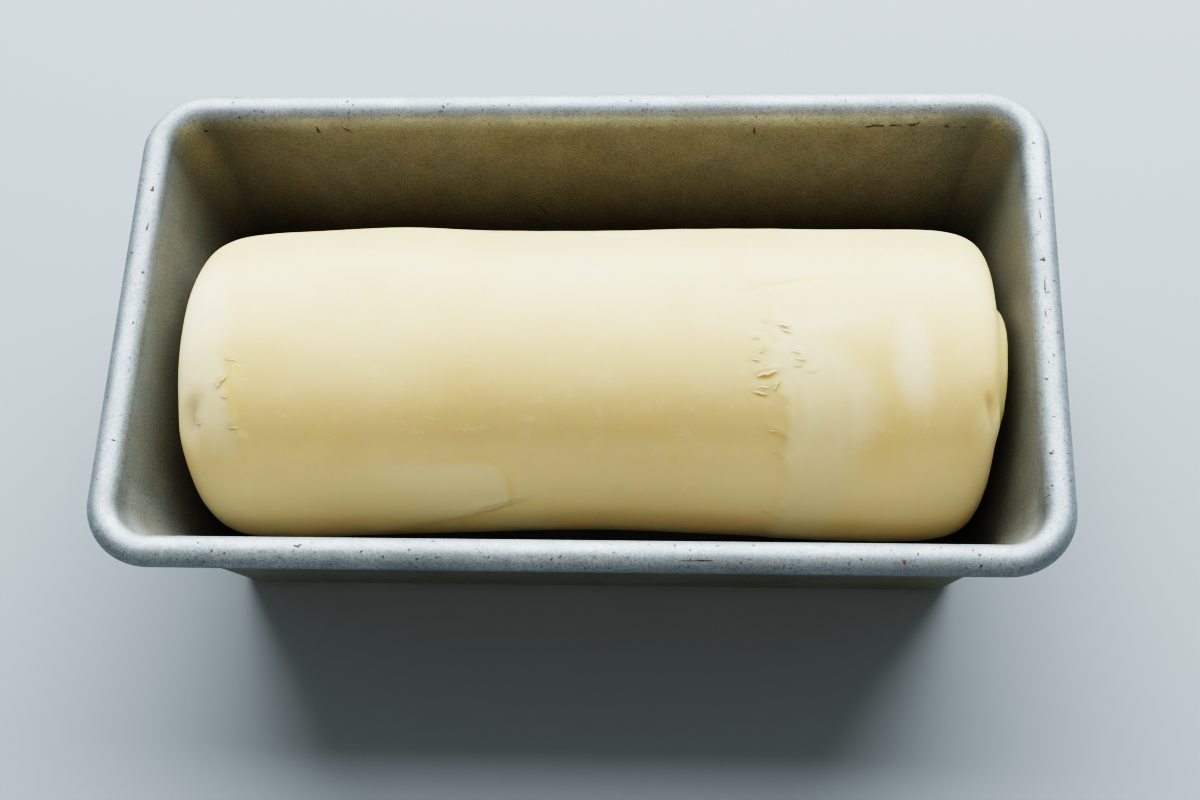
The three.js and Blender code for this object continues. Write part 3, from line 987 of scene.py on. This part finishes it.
def make_camera():
    """The camera of the front view, above the part and rolled a little about its line of sight."""
    turn, height = math.radians(VIEW_TURN), math.radians(VIEW_HEIGHT)
    ahead = Vector((-math.sin(turn) * math.cos(height), math.cos(turn) * math.cos(height),
                    -math.sin(height)))
    camera = bpy.data.objects.new("camera", bpy.data.cameras.new("camera"))
    camera.data.lens = LENS
    camera.data.sensor_width = SENSOR_WIDTH
    camera.data.clip_start = NEAREST_SEEN
    facing = ahead.to_track_quat("-Z", "Y").to_matrix().to_4x4()
    roll = Matrix.Rotation(math.radians(-VIEW_ROLL), 4, "Z")
    camera.matrix_world = Matrix.Translation(VIEW_AIM - ahead * VIEW_DISTANCE) @ facing @ roll
    bpy.context.collection.objects.link(camera)
    bpy.context.scene.camera = camera


def area_light(name, place, size, power, colour):
    """A rectangular lamp that faces the middle of the part."""
    data = bpy.data.lights.new(name, "AREA")
    data.shape = "RECTANGLE"
    data.size, data.size_y = size
    data.energy = power
    data.color = colour
    lamp = bpy.data.objects.new(name, data)
    lamp.location = place
    direction = Vector(MIDDLE) - Vector(place)
    lamp.rotation_euler = direction.to_track_quat("-Z", "Y").to_euler()
    bpy.context.collection.objects.link(lamp)


def make_stage():
    """The floor, the lamps, the light of the room and the view transform."""
    mesh = bpy.data.meshes.new("floor")
    corners = [(x * FLOOR_REACH, y * FLOOR_REACH, CAD_BOX[0][2])
               for x, y in ((-1, -1), (1, -1), (1, 1), (-1, 1))]
    mesh.from_pydata(corners, [], [(0, 1, 2, 3)])
    floor = bpy.data.objects.new("floor", mesh)
    mesh.materials.append(floor_material())
    bpy.context.collection.objects.link(floor)
    for light in LIGHTS:
        area_light(*light)
    world = bpy.data.worlds.new("room")
    world.use_nodes = True
    background = world.node_tree.nodes["Background"]
    background.inputs["Color"].default_value = ROOM_COLOUR
    background.inputs["Strength"].default_value = ROOM_STRENGTH
    bpy.context.scene.world = world
    view = bpy.context.scene.view_settings
    view.view_transform = "Filmic"
    view.look = "Very High Contrast"
    view.gamma = VIEW_GAMMA


def main():
    make_camera()
    make_stage()
    tin = make_tin()
    chips = make_chips(tin)
    skin, dough = make_dough()
    flakes = make_flakes(skin, dough)
    for piece, slot, material in (
            (tin, "tin_metal", tin_material()), (chips, "tin_metal", speck_material()),
            (dough, "raw_dough", dough_material("raw_dough", 1.0)),
            (flakes, "raw_dough", dough_material("torn_skin", 0.1))):
        piece.data.materials.append(material)
        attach(piece, "root")
    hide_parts("loaf_tin")
    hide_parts("dough_log")


main()
